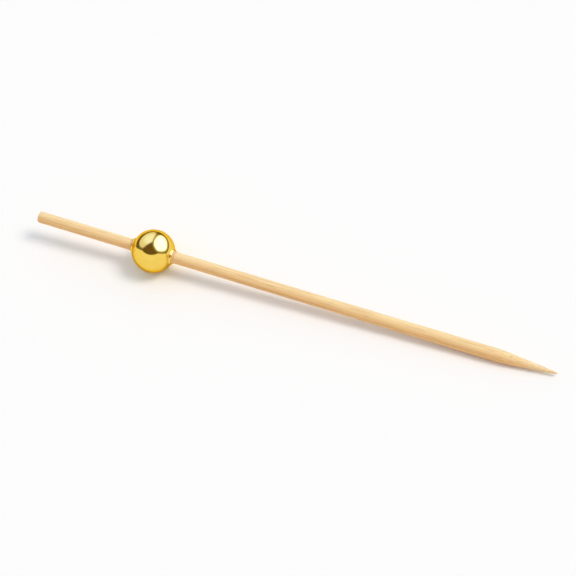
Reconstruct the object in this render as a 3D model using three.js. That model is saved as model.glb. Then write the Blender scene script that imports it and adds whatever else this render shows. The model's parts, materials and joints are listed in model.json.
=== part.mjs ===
// A cocktail pick: a round bamboo stick, sharpened at one end, with a gold ball bead glued on near
// the other. It lies on a table, on its bead and on the shoulder of its point.
// Millimetres, +Z up, the table at Z = 0, the point towards +X.
import * as THREE from 'three';

// Bamboo stick
const stickLength = 120;
const stickDiameter = 2.65; // the plain stretch, from the blunt end to past the bead
const shoulderDiameter = 2.9; // the thickest place, where the point begins
const shoulderRounding = 2; // the blend from shank to cone, each way along the stick
const pointLength = 12;
const tipDiameter = 0.5;
const tipRounding = 0.3;
const bluntEdgeRounding = 0.15;

// Gold bead
const beadDiameter = 9.6;
const beadFromBluntEnd = 28; // to the bead's centre
const lipWidth = 0.35; // the rounded lip round each mouth of the bore
const lipHeight = 0.35;

// Glue bond, which fills the bore round the stick
const glueFilm = 0.15; // from the stick to the bore's wall
const filletLength = 0.5; // what stands out of each mouth, along the stick
const filletEdge = 0.04; // the thickness that the fillet runs out to
const plainPastGlue = 2; // the stick swells only from here on
const jointGap = 0.025; // left between the surfaces of two pieces

// A multiple of four, so that the middle of a facet, not a corner, is turned straight down
const facetsRound = 48;
const ballSteps = 24;
const curveSteps = 6;

const bambooColour = 0xe9c48c;
const goldColour = 0xf0c445;
const glueColour = 0xf4ead0;

const stickRadius = stickDiameter / 2;
const shoulderRadius = shoulderDiameter / 2;
const tipRadius = tipDiameter / 2;
const shoulder = stickLength - pointLength;
// How much the radius drops for each millimetre along the cone
const narrowing = (shoulderRadius - tipRadius) / (pointLength - tipRounding);

const beadRadius = beadDiameter / 2;
const boreRadius = stickRadius + glueFilm;
const lipOuterRadius = boreRadius + lipWidth;
// Along the stick, from the bead's centre to where its ball meets the lip, and to the lip's top
const lipBase = Math.sqrt(beadRadius ** 2 - lipOuterRadius ** 2);
const boreMouth = lipBase + lipHeight;

// A solid of revolution. Its outline has X as the radius and Y along the stick, and half a facet
// of turn puts a facet underneath.
function turned(name, outline, material) {
  const geometry = new THREE.LatheGeometry(outline, facetsRound, Math.PI / facetsRound);
  const mesh = new THREE.Mesh(geometry, new THREE.MeshStandardMaterial(material));
  mesh.name = name;
  return mesh;
}

// One rounded piece of bamboo: a square-cut blunt end, a plain stretch through the bead, a slight
// swell up to the shoulder, and a long cone to a blunted tip.
function bambooStick() {
  const swellStart = beadFromBluntEnd + boreMouth + filletLength + plainPastGlue;
  const swellEnd = shoulder - shoulderRounding;
  const coneStart = shoulder + shoulderRounding;
  const coneRadius = shoulderRadius - narrowing * shoulderRounding;
  const outline = new THREE.Path();
  outline.moveTo(0, 0);
  outline.lineTo(stickRadius - bluntEdgeRounding, 0);
  outline.quadraticCurveTo(stickRadius, 0, stickRadius, bluntEdgeRounding);
  outline.lineTo(stickRadius, swellStart);
  outline.quadraticCurveTo(stickRadius, (swellStart + swellEnd) / 2, shoulderRadius, swellEnd);
  outline.quadraticCurveTo(shoulderRadius, shoulder, coneRadius, coneStart);
  outline.lineTo(tipRadius, stickLength - tipRounding);
  outline.quadraticCurveTo(tipRadius, stickLength, 0, stickLength);
  const bamboo = { color: bambooColour, roughness: 0.6, metalness: 0 };
  return turned('bamboo_stick', outline.getPoints(curveSteps), bamboo);
}

// A moulded plastic ball, plated to a gold mirror, with a bore right through it and a rounded lip
// round each mouth. The outline starts at one lip, goes round the ball, and closes along the bore.
function goldBead() {
  const lipAngle = Math.atan2(lipBase, lipOuterRadius);
  const lipMiddle = boreRadius + lipWidth / 2;
  const ball = new THREE.EllipseCurve(0, 0, beadRadius, beadRadius, -lipAngle, lipAngle);
  const pointwardLip = new THREE.EllipseCurve(
    lipMiddle, lipBase, lipWidth / 2, lipHeight, 0, Math.PI,
  );
  const bluntwardLip = new THREE.EllipseCurve(
    lipMiddle, -lipBase, lipWidth / 2, lipHeight, Math.PI, 2 * Math.PI,
  );
  const outline = [
    ...ball.getPoints(ballSteps),
    ...pointwardLip.getPoints(curveSteps).slice(1),
    ...bluntwardLip.getPoints(curveSteps),
  ];
  const platedPlastic = { color: goldColour, roughness: 0.08, metalness: 1 };
  const bead = turned('gold_bead', outline, platedPlastic);
  bead.position.y = beadFromBluntEnd;
  return bead;
}

// Clear glue, set hard: a thin sleeve between the bore and the stick, with a small hollow-faced
// fillet round the stick at each mouth.
function glueBond() {
  const inner = stickRadius + jointGap;
  const outer = boreRadius - jointGap;
  const edge = inner + filletEdge;
  const end = boreMouth + filletLength;
  const outline = new THREE.Path();
  outline.moveTo(inner, -end);
  outline.lineTo(edge, -end);
  outline.quadraticCurveTo(edge, -boreMouth, outer, -boreMouth);
  outline.lineTo(outer, boreMouth);
  outline.quadraticCurveTo(edge, boreMouth, edge, end);
  outline.lineTo(inner, end);
  outline.closePath();
  const clearGlue = { color: glueColour, roughness: 0.15, metalness: 0 };
  const bond = turned('glue_bond', outline.getPoints(curveSteps), clearGlue);
  bond.position.y = beadFromBluntEnd;
  return bond;
}

// The stick slopes down from the bead, because it rests on the ball and on the middle of the
// rounded shoulder: this is the angle of the line that touches both.
function restingSlope() {
  const radius = shoulderRadius - narrowing * shoulderRounding / 4;
  const distance = shoulder - beadFromBluntEnd;
  const fromBead = Math.hypot(distance, radius);
  return Math.asin(beadRadius / fromBead) - Math.atan2(radius, distance);
}

const pick = new THREE.Group();
pick.add(bambooStick(), goldBead(), glueBond());
pick.rotation.z = -Math.PI / 2; // from +Y, where it was turned, to +X

const lyingPick = new THREE.Group();
lyingPick.add(pick);
lyingPick.rotation.y = restingSlope();

// The origin is at the middle of the pick's box, on the table
const box = new THREE.Box3().setFromObject(lyingPick, true);
const middle = box.getCenter(new THREE.Vector3());
lyingPick.position.set(-middle.x, -middle.y, -box.min.z);

const part = new THREE.Group();
part.add(lyingPick);

export default part;
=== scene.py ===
"""A beaded bamboo cocktail pick, lying on a white table under soft studio light."""

import json
import math

import bmesh
import bpy
from mathutils import Matrix, Vector, noise


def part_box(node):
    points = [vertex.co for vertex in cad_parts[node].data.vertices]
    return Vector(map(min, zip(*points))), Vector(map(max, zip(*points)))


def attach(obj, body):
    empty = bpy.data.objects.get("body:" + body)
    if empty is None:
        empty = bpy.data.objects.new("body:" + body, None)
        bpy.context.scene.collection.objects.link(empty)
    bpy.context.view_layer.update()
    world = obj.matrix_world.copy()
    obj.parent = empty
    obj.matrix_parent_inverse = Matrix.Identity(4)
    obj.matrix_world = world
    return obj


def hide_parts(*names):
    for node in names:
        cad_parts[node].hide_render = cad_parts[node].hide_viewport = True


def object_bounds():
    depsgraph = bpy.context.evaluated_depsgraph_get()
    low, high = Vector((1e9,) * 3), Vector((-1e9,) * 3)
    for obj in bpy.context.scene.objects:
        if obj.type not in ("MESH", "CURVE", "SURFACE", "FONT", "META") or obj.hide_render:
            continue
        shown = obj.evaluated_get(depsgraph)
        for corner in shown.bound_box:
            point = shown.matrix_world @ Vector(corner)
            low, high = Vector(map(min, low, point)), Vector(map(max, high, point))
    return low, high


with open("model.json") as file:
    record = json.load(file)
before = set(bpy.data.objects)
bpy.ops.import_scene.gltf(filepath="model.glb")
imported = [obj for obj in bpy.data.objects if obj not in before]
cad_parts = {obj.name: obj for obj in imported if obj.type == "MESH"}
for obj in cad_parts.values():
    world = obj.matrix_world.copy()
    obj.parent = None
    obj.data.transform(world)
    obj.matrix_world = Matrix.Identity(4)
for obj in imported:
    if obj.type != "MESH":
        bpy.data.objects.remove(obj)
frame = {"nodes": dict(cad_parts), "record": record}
cad_low, cad_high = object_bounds()


# Bamboo stick
# One splinter of bamboo, drawn through a die into a round and sharpened on a grinding belt.
# It is left bare, so its fibres show: pale ground with fine brown strands that run its whole length,
# and that end as dots on the cut face. Towards the lower front, the side that was the stem's skin, the
# strands stand closer and the ground darkens; this also paints shade on the stick's underside and light on
# its top.

# The frame gives the line that the stick lies on, from its flat blunt end towards its point
blunt_end = frame["record"]["mounts"][0]
BLUNT_END = Vector(blunt_end["pos_m"])
POINTWARD = -Vector(blunt_end["axis"]).normalized()
SLOPE = math.asin(-POINTWARD.z)
LAID_ON_TABLE = Matrix.Translation(BLUNT_END) @ Matrix.Rotation(SLOPE, 4, "Y")


def reach(node):
    """Where a CAD node starts and ends along the stick, and half its width across the stick."""
    along = [(corner.co - BLUNT_END).dot(POINTWARD) for corner in frame["nodes"][node].data.vertices]
    low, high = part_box(node)
    return min(along), max(along), (high.y - low.y) / 2


MM = 0.001
_, STICK_LENGTH, SHOULDER_RADIUS = reach("bamboo_stick")
STICK_RADIUS = 1.325 * MM
SWELL_START = 35.3 * MM
SHOULDER_ROUNDING = 2 * MM
POINT_LENGTH = 12 * MM
TIP_RADIUS = 0.25 * MM
TIP_ROUNDING = 0.2 * MM
BLUNT_EDGE = 0.15 * MM
# What is taken off each end, so that the stick stays inside its CAD solid
END_TRIM = 0.01 * MM


def stick_radius(along):
    """The stick's radius at a distance from its blunt end: plain, then a slight swell, then a cone."""
    shoulder = STICK_LENGTH - POINT_LENGTH
    swell_end = shoulder - SHOULDER_ROUNDING
    narrowing = (SHOULDER_RADIUS - TIP_RADIUS) / (POINT_LENGTH - TIP_ROUNDING)
    if along < SWELL_START:
        return STICK_RADIUS
    if along < swell_end:
        share = (along - SWELL_START) / (swell_end - SWELL_START)
        return STICK_RADIUS + (SHOULDER_RADIUS - STICK_RADIUS) * share**2
    if along < shoulder + SHOULDER_ROUNDING:
        share = (along - swell_end) / (2 * SHOULDER_ROUNDING)
        return SHOULDER_RADIUS - narrowing * SHOULDER_ROUNDING * share**2
    return SHOULDER_RADIUS - narrowing * (along - shoulder)


def steps(start, end, count):
    """count + 1 even steps from start to end."""
    return [start + (end - start) * i / count for i in range(count + 1)]


def quarter(middle_along, middle_out, along, out, start, count):
    """An elliptic quarter round, as (along, out) points, from the angle start."""
    return [
        (middle_along + along * math.cos(angle), middle_out + out * math.sin(angle))
        for angle in steps(start, start - math.pi / 2, count)
    ]


# Corners that lie closer than this are one corner
SAME_SPOT = 1e-4 * MM


def spun(outline, around, closed=False):
    """A bmesh turned about the stick's own line from an outline of (along, out) points."""
    turned = bmesh.new()
    rim = [turned.verts.new((along, 0, out)) for along, out in outline]
    pairs = list(zip(rim, rim[1:])) + ([(rim[-1], rim[0])] if closed else [])
    edges = [turned.edges.new(pair) for pair in pairs]
    bmesh.ops.spin(
        turned,
        geom=rim + edges,
        cent=(0, 0, 0),
        axis=(1, 0, 0),
        angle=2 * math.pi,
        steps=around,
        use_merge=True,
    )
    bmesh.ops.remove_doubles(turned, verts=turned.verts, dist=SAME_SPOT)
    bmesh.ops.recalc_face_normals(turned, faces=turned.faces)
    return turned


def laid(name, turned):
    """The turned shape as an object where it lies on the table, smooth all over."""
    turned.transform(LAID_ON_TABLE)
    mesh = bpy.data.meshes.new(name)
    turned.to_mesh(mesh)
    turned.free()
    mesh.shade_smooth()
    piece = bpy.data.objects.new(name, mesh)
    bpy.context.collection.objects.link(piece)
    return piece


# The soft ground wears down between the strands, the die leaves the stick a little out of round, and
# the cutter tears the blunt end's fibres. Each has its depth, and its width across and length along
# the stick.
STRAND_RELIEF = 0.03 * MM
STRAND_PATCH = (0.22 * MM, 16 * MM)
FLATS_RELIEF = 0.04 * MM
FLATS_PATCH = (2 * MM, 40 * MM)
CUT_RELIEF = 0.05 * MM
CUT_PATCH = (0.2 * MM, 1 * MM)

# How many steps each stretch of the stick's outline takes, and how many it takes around
FACE_STEPS = 14
EDGE_STEPS = 5
SHANK_STEPS = 200
POINT_STEPS = 60
TIP_STEPS = 7
STICK_AROUND = 176


def worn(spot, patch):
    """Noise from 0 to 1 that is drawn out along the stick, as bamboo's strands are."""
    width, length = patch
    return 0.5 + 0.5 * noise.noise(Vector((spot.x / length, spot.y / width, spot.z / width)))


def bamboo_shape():
    """The stick turned from its outline, with its surface worn and its blunt end torn."""
    shank_start = BLUNT_EDGE + END_TRIM
    swell_end = STICK_LENGTH - POINT_LENGTH - SHOULDER_ROUNDING
    cone_end = STICK_LENGTH - TIP_ROUNDING - END_TRIM
    flat_out = STICK_RADIUS - BLUNT_EDGE
    face = [(END_TRIM, out) for out in steps(0, flat_out, FACE_STEPS)]
    edge = quarter(shank_start, flat_out, BLUNT_EDGE, BLUNT_EDGE, math.pi, EDGE_STEPS)
    shank = [(along, stick_radius(along)) for along in steps(shank_start, swell_end, SHANK_STEPS)]
    point = [(along, stick_radius(along)) for along in steps(swell_end, cone_end, POINT_STEPS)]
    tip = quarter(cone_end, 0, TIP_ROUNDING, TIP_RADIUS, math.pi / 2, TIP_STEPS)
    turned = spun(face + edge[1:] + shank[1:] + point[1:] + tip[1:], STICK_AROUND)
    for corner in turned.verts:
        spot = corner.co.copy()
        out = Vector((0, spot.y, spot.z))
        depth = STRAND_RELIEF * worn(spot, STRAND_PATCH)
        depth += FLATS_RELIEF * worn(spot, FLATS_PATCH)
        corner.co -= out.normalized() * depth * min(1, out.length / STICK_RADIUS)
        if spot.x < shank_start:
            depth = CUT_RELIEF * worn(spot, CUT_PATCH)
            corner.co.x += depth * (shank_start - spot.x) / BLUNT_EDGE
    return turned


bamboo_rod = laid("bamboo_rod", bamboo_shape())


def shader(name):
    """A material with its Principled shader, and coordinates in millimetres along and across the stick."""
    material = bpy.data.materials.new(name)
    material.use_nodes = True
    tree = material.node_tree
    tree.nodes.clear()
    surface = tree.nodes.new("ShaderNodeBsdfPrincipled")
    output = tree.nodes.new("ShaderNodeOutputMaterial")
    tree.links.new(surface.outputs["BSDF"], output.inputs["Surface"])
    coordinates = tree.nodes.new("ShaderNodeTexCoord")
    mapping = tree.nodes.new("ShaderNodeMapping")
    mapping.vector_type = "TEXTURE"
    mapping.inputs["Location"].default_value = BLUNT_END
    mapping.inputs["Rotation"].default_value = (0, SLOPE, 0)
    mapping.inputs["Scale"].default_value = (MM, MM, MM)
    tree.links.new(coordinates.outputs["Object"], mapping.inputs["Vector"])
    return material, tree, surface, mapping.outputs["Vector"]


def plugged(tree, socket, value):
    """Set an input socket to a plain value, or link it from another node's output."""
    if isinstance(value, bpy.types.NodeSocket):
        tree.links.new(value, socket)
    else:
        socket.default_value = value


def math_node(tree, operation, *values):
    """One Math node's result."""
    made = tree.nodes.new("ShaderNodeMath")
    made.operation = operation
    for socket, value in zip(made.inputs, values):
        plugged(tree, socket, value)
    return made.outputs[0]


def vector_math(tree, operation, *values):
    """One Vector Math node's result: a number from a dot product or a length, a vector otherwise."""
    made = tree.nodes.new("ShaderNodeVectorMath")
    made.operation = operation
    for socket, value in zip(made.inputs, values):
        plugged(tree, socket, value)
    return made.outputs["Value" if operation in ("DOT_PRODUCT", "LENGTH") else "Vector"]


def noise_at(tree, vector, scale, detail=2.0, roughness=0.5):
    """One Noise Texture's value, which mostly stays between 0.3 and 0.7."""
    made = tree.nodes.new("ShaderNodeTexNoise")
    plugged(tree, made.inputs["Vector"], vector)
    plugged(tree, made.inputs["Scale"], scale)
    made.inputs["Detail"].default_value = detail
    made.inputs["Roughness"].default_value = roughness
    return made.outputs["Fac"]


def spread(tree, value, low, high, to_low=0.0, to_high=1.0, curve="SMOOTHSTEP"):
    """value from low to high, stretched to the other two, and held there beyond them."""
    made = tree.nodes.new("ShaderNodeMapRange")
    made.interpolation_type = curve
    for socket, setting in zip(made.inputs, (value, low, high, to_low, to_high)):
        plugged(tree, socket, setting)
    return made.outputs["Result"]


# The Mix node's sockets for colours, which share their names with those for numbers
MIX_SHARE, MIX_FIRST, MIX_SECOND = 0, 6, 7
MIX_RESULT = 2


def mixed(tree, share, first, second):
    """Two colours, mixed by a share of the second."""
    made = tree.nodes.new("ShaderNodeMix")
    made.data_type = "RGBA"
    for socket, value in ((MIX_SHARE, share), (MIX_FIRST, first), (MIX_SECOND, second)):
        plugged(tree, made.inputs[socket], value)
    return made.outputs[MIX_RESULT]


def raised(tree, surface, height, strength, distance):
    """Give the surface a relief too fine for its mesh."""
    bump = tree.nodes.new("ShaderNodeBump")
    bump.inputs["Strength"].default_value = strength
    bump.inputs["Distance"].default_value = distance
    tree.links.new(height, bump.inputs["Height"])
    tree.links.new(bump.outputs["Normal"], surface.inputs["Normal"])


# The tones run from the pith side, laid on the lit top, to the skin side, laid on the shaded lower front:
# the bamboo's own tones, and painted light and shade too.
PITH_AND_LIT_SIDE = (0.97, 0.785, 0.425, 1)
FRESHLY_CUT = (0.99, 0.84, 0.54, 1)
MID_BAMBOO = (0.95, 0.63, 0.295, 1)
SKIN_AND_SHADED_SIDE = (0.93, 0.47, 0.145, 1)
STRAND_BROWN = (0.66, 0.33, 0.11, 1)
FIBRE_SHADE = (0.86, 0.50, 0.20, 1)
CUT_VESSEL = (0.36, 0.18, 0.06, 1)

# Where the colours meet, in millimetres from the stick's middle towards its skin side, and how far
# the bands make that line sway. The skin side faces the lower front and the pith side the top, so the ramp
# also paints shade below and light above.
TOWARDS_SKIN_AND_SHADE = (0, -0.8, -0.6)
LIT_PITH_TO_MIDDLE = (-0.9, 1.0)
MIDDLE_TO_SHADED_SKIN = (0.8, 2.1)
BAND_SWAY = 1.2
# Where the fresh colour fades: off the axis in every direction, and towards the lower front, so that it
# stays pale on the lit top as painted light
FRESH_CORE = (0.7, 1.2)
FRESH_TO_SHADED_SIDE = (-0.3, 0.5)
FRESH_SHARE = 0.65
FRESH_ON_SHADED_SIDE = 0.2

# The pattern is this much longer than wide, and it repeats this often on a millimetre across
WHOLE_LENGTH = 130
BROKEN_LENGTH = 80
BANDS_PER_MM = 1.1
STRANDS_PER_MM = 2.7
FIBRES_PER_MM = 9.0
VESSELS_PER_MM = 12.0

# A strand's width as a share of its spacing, from the pith side to the skin side on the lower front, where
# wider strands also paint shade, and its soft edge
STRAND_WIDTHS = (0.2, 0.38)
ACROSS_STICK = (-1.3, 1.3)
STRAND_EDGE = (-0.1, 0.12)
# Which part of the noise shows as a shaded fibre or as an opened vessel
SHADED_FIBRE = (0.42, 0.68)
OPEN_VESSEL = (0.66, 0.73)
# How strongly each is coloured
STRAND_SHARE = 0.5
FIBRE_SHARE = 0.75
VESSEL_SHARE = 0.7

FIBRE_RANGE = (0.3, 0.7)
BAMBOO_ROUGHNESS = (0.38, 0.58)
GRAIN_STRENGTH = 0.8
GRAIN_DEPTH = 0.02 * MM


def bamboo_ground(tree, spot, lengthwise, skin_and_shade_side):
    """The colour under the strands: it deepens from the pith side on the top to the skin side on the lower
    front, in wavering bands, as the bamboo's own tone and as painted light and shade.
    """
    band = noise_at(tree, lengthwise, BANDS_PER_MM, detail=1.0)
    wavering = math_node(tree, "MULTIPLY_ADD", band, BAND_SWAY, skin_and_shade_side)
    ground = mixed(tree, spread(tree, wavering, *LIT_PITH_TO_MIDDLE), PITH_AND_LIT_SIDE, MID_BAMBOO)
    ground = mixed(tree, spread(tree, wavering, *MIDDLE_TO_SHADED_SKIN), ground, SKIN_AND_SHADED_SIDE)
    # The stick's outside has darkened since the point was ground and the blunt end was cut
    off_axis = vector_math(tree, "LENGTH", vector_math(tree, "MULTIPLY", spot, (0, 1, 1)))
    fresh = spread(tree, off_axis, *FRESH_CORE, FRESH_SHARE, 0)
    # Held to the top side, the fresh colour also paints light on the top of the point and the end
    fresh = math_node(tree, "MULTIPLY", fresh, spread(tree, skin_and_shade_side, *FRESH_TO_SHADED_SIDE, 1, FRESH_ON_SHADED_SIDE))
    return mixed(tree, fresh, ground, FRESHLY_CUT)


def bamboo_strands(tree, lengthwise, skin_and_shade_side):
    """1 on a strand and 0 between them. Each is a cell of a pattern drawn out along the stick."""
    cells = tree.nodes.new("ShaderNodeTexVoronoi")
    tree.links.new(lengthwise, cells.inputs["Vector"])
    cells.inputs["Scale"].default_value = STRANDS_PER_MM
    # Strands widen towards the lower front, as on the skin side, and as painted shade
    width = spread(tree, skin_and_shade_side, *ACROSS_STICK, *STRAND_WIDTHS, "LINEAR")
    inside = math_node(tree, "SUBTRACT", width, cells.outputs["Distance"])
    return spread(tree, inside, *STRAND_EDGE)


def bare_bamboo():
    """Bare bamboo, sanded to a satin."""
    material, tree, surface, spot = shader("bare_bamboo")
    # How far a spot lies towards the lower front, the skin side, where the tones darken as painted shade
    skin_and_shade_side = vector_math(tree, "DOT_PRODUCT", spot, TOWARDS_SKIN_AND_SHADE)
    # Bands and strands run the stick's whole length, single fibres and opened vessels end on the way
    lengthwise = vector_math(tree, "MULTIPLY", spot, (1 / WHOLE_LENGTH, 1, 1))
    broken = vector_math(tree, "MULTIPLY", spot, (1 / BROKEN_LENGTH, 1, 1))
    strand = bamboo_strands(tree, lengthwise, skin_and_shade_side)
    fibre = noise_at(tree, broken, FIBRES_PER_MM, detail=3.0, roughness=0.65)
    shade = spread(tree, fibre, *SHADED_FIBRE, 0, FIBRE_SHARE)
    vessel = noise_at(tree, broken, VESSELS_PER_MM, detail=1.0)
    vessel = spread(tree, vessel, *OPEN_VESSEL, 0, VESSEL_SHARE)

    colour = bamboo_ground(tree, spot, lengthwise, skin_and_shade_side)
    colour = mixed(tree, math_node(tree, "MULTIPLY", strand, STRAND_SHARE), colour, STRAND_BROWN)
    colour = mixed(tree, shade, colour, FIBRE_SHADE)
    colour = mixed(tree, vessel, colour, CUT_VESSEL)
    tree.links.new(colour, surface.inputs["Base Color"])
    roughness = spread(tree, fibre, *FIBRE_RANGE, *BAMBOO_ROUGHNESS)
    tree.links.new(roughness, surface.inputs["Roughness"])
    height = math_node(tree, "MULTIPLY_ADD", strand, STRAND_SHARE, fibre)
    height = math_node(tree, "SUBTRACT", height, vessel)
    raised(tree, surface, height, GRAIN_STRENGTH, GRAIN_DEPTH)
    surface.inputs["Specular IOR Level"].default_value = 0.35
    surface.inputs["Subsurface Weight"].default_value = 0.1
    surface.inputs["Subsurface Radius"].default_value = (1.0, 0.5, 0.25)
    surface.inputs["Subsurface Scale"].default_value = 0.5 * MM
    return material


bamboo_rod.data.materials.append(bare_bamboo())
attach(bamboo_rod, "root")
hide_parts("bamboo_stick")


# Gold bead
# A moulded plastic ball with a bore right through it and a rounded lip round each mouth.
# It is plated to a mirror and lacquered gold, and it sits glued on the stick.

bead_start, bead_end, BEAD_RADIUS = reach("gold_bead")
BEAD_MIDDLE = (bead_start + bead_end) / 2
BEAD_REACH = (bead_end - bead_start) / 2
GLUE_FILM = 0.15 * MM
BORE_RADIUS = STICK_RADIUS + GLUE_FILM
LIP_WIDTH = 0.35 * MM
# The moulding leaves the ball this much out of true, in waves of this width
BALL_UNEVENNESS = 0.006 * MM
WAVE_WIDTH = 2.5 * MM
BALL_STEPS = 110
LIP_STEPS = 14
BEAD_AROUND = 180


def bead_shape():
    """The ball with a lip at each mouth, turned from an outline that closes along the bore."""
    ball_radius = BEAD_RADIUS - BALL_UNEVENNESS
    lip_out = BORE_RADIUS + LIP_WIDTH
    lip_base = math.sqrt(ball_radius**2 - lip_out**2)
    lip_height = BEAD_REACH - lip_base
    lip_middle = BORE_RADIUS + LIP_WIDTH / 2
    edge_angle = math.asin(lip_out / ball_radius)
    ball = [
        (-ball_radius * math.cos(angle), ball_radius * math.sin(angle))
        for angle in steps(edge_angle, math.pi - edge_angle, BALL_STEPS)
    ]
    lip = [
        (lip_base + lip_height * math.sin(angle), lip_middle + LIP_WIDTH / 2 * math.cos(angle))
        for angle in steps(0, math.pi, LIP_STEPS)
    ]
    other_lip = [(-along, out) for along, out in reversed(lip)]
    turned = spun(ball + lip[1:] + other_lip[:-1], BEAD_AROUND, closed=True)
    for corner in turned.verts:
        corner.co += corner.co.normalized() * BALL_UNEVENNESS * noise.noise(corner.co / WAVE_WIDTH)
    bmesh.ops.translate(turned, verts=turned.verts, vec=(BEAD_MIDDLE, 0, 0))
    return turned


gold_ball = laid("gold_ball", bead_shape())

# Which part of the noise is where a coat goes from thin to thick
THIN_TO_THICK = (0.35, 0.65)


def soft_patches_group():
    """A node group for a coat that is thicker in places: soft patches, as a colour and as a mask."""
    tree = bpy.data.node_groups.new("soft_patches", "ShaderNodeTree")
    for name, kind in (("Vector", "Vector"), ("Scale", "Float"), ("Thin", "Color"), ("Thick", "Color")):
        tree.interface.new_socket(name, in_out="INPUT", socket_type="NodeSocket" + kind)
    for name, kind in (("Colour", "Color"), ("Thickness", "Float")):
        tree.interface.new_socket(name, in_out="OUTPUT", socket_type="NodeSocket" + kind)
    given = tree.nodes.new("NodeGroupInput").outputs
    result = tree.nodes.new("NodeGroupOutput").inputs
    thickness = spread(tree, noise_at(tree, given["Vector"], given["Scale"]), *THIN_TO_THICK)
    tree.links.new(mixed(tree, thickness, given["Thin"], given["Thick"]), result["Colour"])
    tree.links.new(thickness, result["Thickness"])
    return tree


SOFT_PATCHES = soft_patches_group()


def soft_patches(tree, vector, scale, thin, thick):
    """The group placed in a material. It gives its colour and its mask of the thick patches."""
    made = tree.nodes.new("ShaderNodeGroup")
    made.node_tree = SOFT_PATCHES
    for name, value in (("Vector", vector), ("Scale", scale), ("Thin", thin), ("Thick", thick)):
        plugged(tree, made.inputs[name], value)
    return made.outputs["Colour"], made.outputs["Thickness"]


GOLD = (0.915, 0.64, 0.122, 1)
DEEP_GOLD = (0.905, 0.62, 0.108, 1)
GOLD_AT_THE_RIM = (0.93, 0.58, 0.16, 1)
# How often each pattern repeats on a millimetre
LACQUER_PATCHES_PER_MM = 0.5
RUBS_PER_MM = 1.4
RIPPLES_PER_MM = 2.5
RUBBED = (0.4, 0.7)
GOLD_ROUGHNESS = (0.04, 0.08)
RIPPLE_STRENGTH = 0.5
RIPPLE_DEPTH = 0.001 * MM


def gold_plating():
    """A gold mirror, faintly rubbed and rippled, under a lacquer that is deeper in places."""
    material, tree, surface, spot = shader("gold_plating")
    colour, _ = soft_patches(tree, spot, LACQUER_PATCHES_PER_MM, GOLD, DEEP_GOLD)
    tree.links.new(colour, surface.inputs["Base Color"])
    rubbed = noise_at(tree, spot, RUBS_PER_MM, detail=4.0)
    roughness = spread(tree, rubbed, *RUBBED, *GOLD_ROUGHNESS)
    tree.links.new(roughness, surface.inputs["Roughness"])
    raised(tree, surface, noise_at(tree, spot, RIPPLES_PER_MM), RIPPLE_STRENGTH, RIPPLE_DEPTH)
    surface.inputs["Metallic"].default_value = 1
    surface.inputs["Specular Tint"].default_value = GOLD_AT_THE_RIM
    return material


gold_ball.data.materials.append(gold_plating())
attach(gold_ball, "root")
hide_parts("gold_bead")


# Glue bond
# Clear glue that was run into the bore and has set hard. Only its small fillet round the stick
# shows, at each mouth of the bead.

FILLET_LENGTH = 0.5 * MM
FILLET_EDGE = 0.02 * MM
GLUE_CLEARANCE = 0.004 * MM
FILLET_STEPS = 10
GLUE_AROUND = 120


def glue_shape():
    """A sleeve round the stick with a hollow-faced fillet at each end."""
    inner = STICK_RADIUS + GLUE_CLEARANCE
    outer = BORE_RADIUS - GLUE_CLEARANCE
    edge = inner + FILLET_EDGE
    fillet = [
        (BEAD_REACH + FILLET_LENGTH * share, edge + (outer - edge) * (1 - share) ** 2)
        for share in steps(0, 1, FILLET_STEPS)
    ]
    other_fillet = [(-along, out) for along, out in reversed(fillet)]
    inside = [(BEAD_REACH + FILLET_LENGTH, inner), (-BEAD_REACH - FILLET_LENGTH, inner)]
    turned = spun(fillet + inside + other_fillet, GLUE_AROUND, closed=True)
    bmesh.ops.translate(turned, verts=turned.verts, vec=(BEAD_MIDDLE, 0, 0))
    return turned


glue_sleeve = laid("glue_sleeve", glue_shape())

CLEAR_GLUE = (0.84, 0.52, 0.20, 1)
YELLOWED_GLUE = (0.78, 0.44, 0.14, 1)
GLUE_PATCHES_PER_MM = 1.5
GLUE_ROUGHNESS = (0.06, 0.16)
GLUE_IOR = 1.46


def clear_glue():
    """Set glue with the bamboo's colour showing through it, yellower where it is thick."""
    material, tree, surface, spot = shader("clear_glue")
    colour, thickness = soft_patches(tree, spot, GLUE_PATCHES_PER_MM, CLEAR_GLUE, YELLOWED_GLUE)
    tree.links.new(colour, surface.inputs["Base Color"])
    tree.links.new(spread(tree, thickness, 0, 1, *GLUE_ROUGHNESS), surface.inputs["Roughness"])
    surface.inputs["IOR"].default_value = GLUE_IOR
    return material


glue_sleeve.data.materials.append(clear_glue())
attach(glue_sleeve, "root")
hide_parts("glue_bond")


# Table
# A plain white sheet of matt paper, which runs on past every edge of the picture.
# It lies flat under the pick and takes its shadow.

TABLE_SIZE = 60
PAPER_WHITE = (0.965, 0.965, 0.965, 1)


def table_top():
    """The sheet, in its matt white."""
    sheet = bmesh.new()
    bmesh.ops.create_grid(sheet, x_segments=1, y_segments=1, size=TABLE_SIZE / 2)
    mesh = bpy.data.meshes.new("table_top")
    sheet.to_mesh(mesh)
    sheet.free()
    table = bpy.data.objects.new("table_top", mesh)
    bpy.context.collection.objects.link(table)
    paper = bpy.data.materials.new("white_paper")
    paper.use_nodes = True
    surface = paper.node_tree.nodes["Principled BSDF"]
    surface.inputs["Base Color"].default_value = PAPER_WHITE
    surface.inputs["Roughness"].default_value = 1
    surface.inputs["Specular IOR Level"].default_value = 0
    mesh.materials.append(paper)
    return table


table_top()


# Studio light
# Two large diffused windows stand behind the table, a bright one on the right and a dim one on the
# left, and a white card stands in front. A softer lamp in the bright window lights what is matt.


def towards(bearing, height):
    """A direction by its bearing, from the front round by the right, and its height, in degrees."""
    bearing, height = math.radians(bearing), math.radians(height)
    flat = math.cos(height)
    return Vector((flat * math.sin(bearing), -flat * math.cos(bearing), math.sin(height)))


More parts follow.
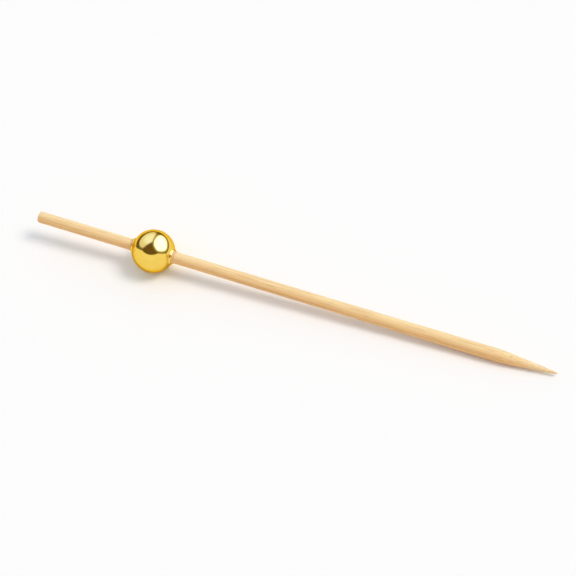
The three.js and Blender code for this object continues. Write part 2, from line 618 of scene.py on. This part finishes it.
# What the gold mirrors. A window has its corners as bearings and heights, the softness of its edge,
# its two colours, and where the one at its edge goes over into the one at its middle.
BRIGHT_WINDOW = [(172, 84), (50, 58), (62, 36), (100, 9), (172, 9), (186, 26), (186, 58)]
BRIGHT_BLUR = 0.22
BRIGHT_EDGE = (1.05, 1.2, 1.9, 1)
BRIGHT_MIDDLE = (2.9, 3.2, 7.0, 1)
BRIGHT_FADE = (0.45, 0.95)
DIM_WINDOW = [
    (-176, 80), (-54, 62), (-54, 38), (-71, 26), (-92, 18),
    (-120, 14), (-142, 10), (-160, 6), (-170, 24), (-173, 58),
]
DIM_BLUR = 0.14
DIM_EDGE = (0.88, 0.97, 1.65, 1)
DIM_MIDDLE = (1.06, 1.36, 3.4, 1)
DIM_BRIGHTEST = (-150, 60)
DIM_FADE = (0.7, 1.0)
# The card's top edge, as rise over distance, climbs from low to top as a direction turns to face it
CARD_WHITE = (1.0, 1.0, 1.0, 1)
CARD_BEARING = 4
CARD_FACING = (-0.06, 0.62)
CARD_HEIGHTS = (-0.03, 0.57)
CARD_BLUR = 0.08
DARK_ROOM = (0.154, 0.11, 0.06, 1)

# What lights the matt surfaces: a lamp that fades from its core to its edge, light from the side of
# the dim window, and a fill all round
LAMP = (109, 56)
LAMP_CORE = math.cos(math.radians(7.5))
LAMP_EDGE = math.cos(math.radians(15.5))
LAMP_LIGHT = (10.8, 9.92, 9.13, 1)
SIDE_LIGHT = (0.79, 0.832, 0.875, 1)
FILL_AT_TABLE = (0.38, 0.401, 0.417, 1)
FILL_OVERHEAD = (0.70, 0.736, 0.768, 1)

BACKGROUND_WHITE = (0.985, 0.985, 0.985, 1)


def window_share(tree, direction, corners, blur):
    """1 inside the window and 0 outside it, from the planes through its edges."""
    rays = [towards(*corner) for corner in corners]
    middle = sum(rays, Vector())
    share = 1.0
    for start, end in zip(rays, rays[1:] + rays[:1]):
        side = start.cross(end).normalized()
        side *= math.copysign(1, side.dot(middle))
        inside = spread(tree, vector_math(tree, "DOT_PRODUCT", direction, side), -blur, blur)
        share = math_node(tree, "MULTIPLY", share, inside)
    return share


def card_share(tree, direction):
    """1 where the white card in front shows. Its top edge falls away to the table on both sides."""
    level = vector_math(tree, "MULTIPLY", direction, (1, 1, 0))
    rise = vector_math(tree, "DOT_PRODUCT", direction, (0, 0, 1))
    rise = math_node(tree, "DIVIDE", rise, vector_math(tree, "LENGTH", level))
    level = vector_math(tree, "NORMALIZE", level)
    facing = vector_math(tree, "DOT_PRODUCT", level, towards(CARD_BEARING, 0))
    top = spread(tree, facing, *CARD_FACING, *CARD_HEIGHTS, "LINEAR")
    return spread(tree, math_node(tree, "SUBTRACT", top, rise), -CARD_BLUR, CARD_BLUR)


def studio():
    """The world: one picture of the studio for what is mirrored, one for what is lit, and plain white."""
    world = bpy.data.worlds.new("studio")
    world.use_nodes = True
    tree = world.node_tree
    tree.nodes.clear()
    direction = tree.nodes.new("ShaderNodeTexCoord").outputs["Generated"]
    dim_share = window_share(tree, direction, DIM_WINDOW, DIM_BLUR)
    bright_share = window_share(tree, direction, BRIGHT_WINDOW, BRIGHT_BLUR)

    central = vector_math(tree, "DOT_PRODUCT", direction, towards(*DIM_BRIGHTEST))
    dim_window = mixed(tree, spread(tree, central, *DIM_FADE), DIM_EDGE, DIM_MIDDLE)
    bright_window = mixed(tree, spread(tree, bright_share, *BRIGHT_FADE), BRIGHT_EDGE, BRIGHT_MIDDLE)
    mirrored = mixed(tree, card_share(tree, direction), DARK_ROOM, CARD_WHITE)
    mirrored = mixed(tree, dim_share, mirrored, dim_window)
    mirrored = mixed(tree, bright_share, mirrored, bright_window)

    rise = vector_math(tree, "DOT_PRODUCT", direction, (0, 0, 1))
    fill = mixed(tree, spread(tree, rise, 0, 1, curve="LINEAR"), FILL_AT_TABLE, FILL_OVERHEAD)
    falling = mixed(tree, dim_share, fill, SIDE_LIGHT)
    lampward = vector_math(tree, "DOT_PRODUCT", direction, towards(*LAMP))
    falling = mixed(tree, spread(tree, lampward, LAMP_EDGE, LAMP_CORE), falling, LAMP_LIGHT)

    ray = tree.nodes.new("ShaderNodeLightPath")
    colour = mixed(tree, ray.outputs["Is Glossy Ray"], falling, mirrored)
    colour = mixed(tree, ray.outputs["Is Camera Ray"], colour, BACKGROUND_WHITE)
    background = tree.nodes.new("ShaderNodeBackground")
    tree.links.new(colour, background.inputs["Color"])
    output = tree.nodes.new("ShaderNodeOutputWorld")
    tree.links.new(background.outputs["Background"], output.inputs["Surface"])
    return world


bpy.context.scene.world = studio()
bpy.context.scene.view_settings.view_transform = "Standard"


# Camera
# It looks down at the pick from the photograph's height, bearing and distance, with the point nearest
# to it, and a longer lens fills the picture with the one pick.

CAMERA_BEARING = 27.7
CAMERA_HEIGHT = 50
CAMERA_DISTANCE = 0.407
CAMERA_ROLL = math.radians(-6.6)
LENS = 119


def camera():
    """The camera, aimed at the middle of the pick."""
    data = bpy.data.cameras.new("camera")
    data.lens = LENS
    made = bpy.data.objects.new("camera", data)
    bpy.context.collection.objects.link(made)
    back = towards(CAMERA_BEARING, CAMERA_HEIGHT)
    aim = (cad_low + cad_high) / 2
    made.location = aim + back * CAMERA_DISTANCE
    turn = back.to_track_quat("Z", "Y").to_matrix().to_4x4() @ Matrix.Rotation(CAMERA_ROLL, 4, "Z")
    made.rotation_euler = turn.to_euler()
    return made


bpy.context.scene.camera = camera()
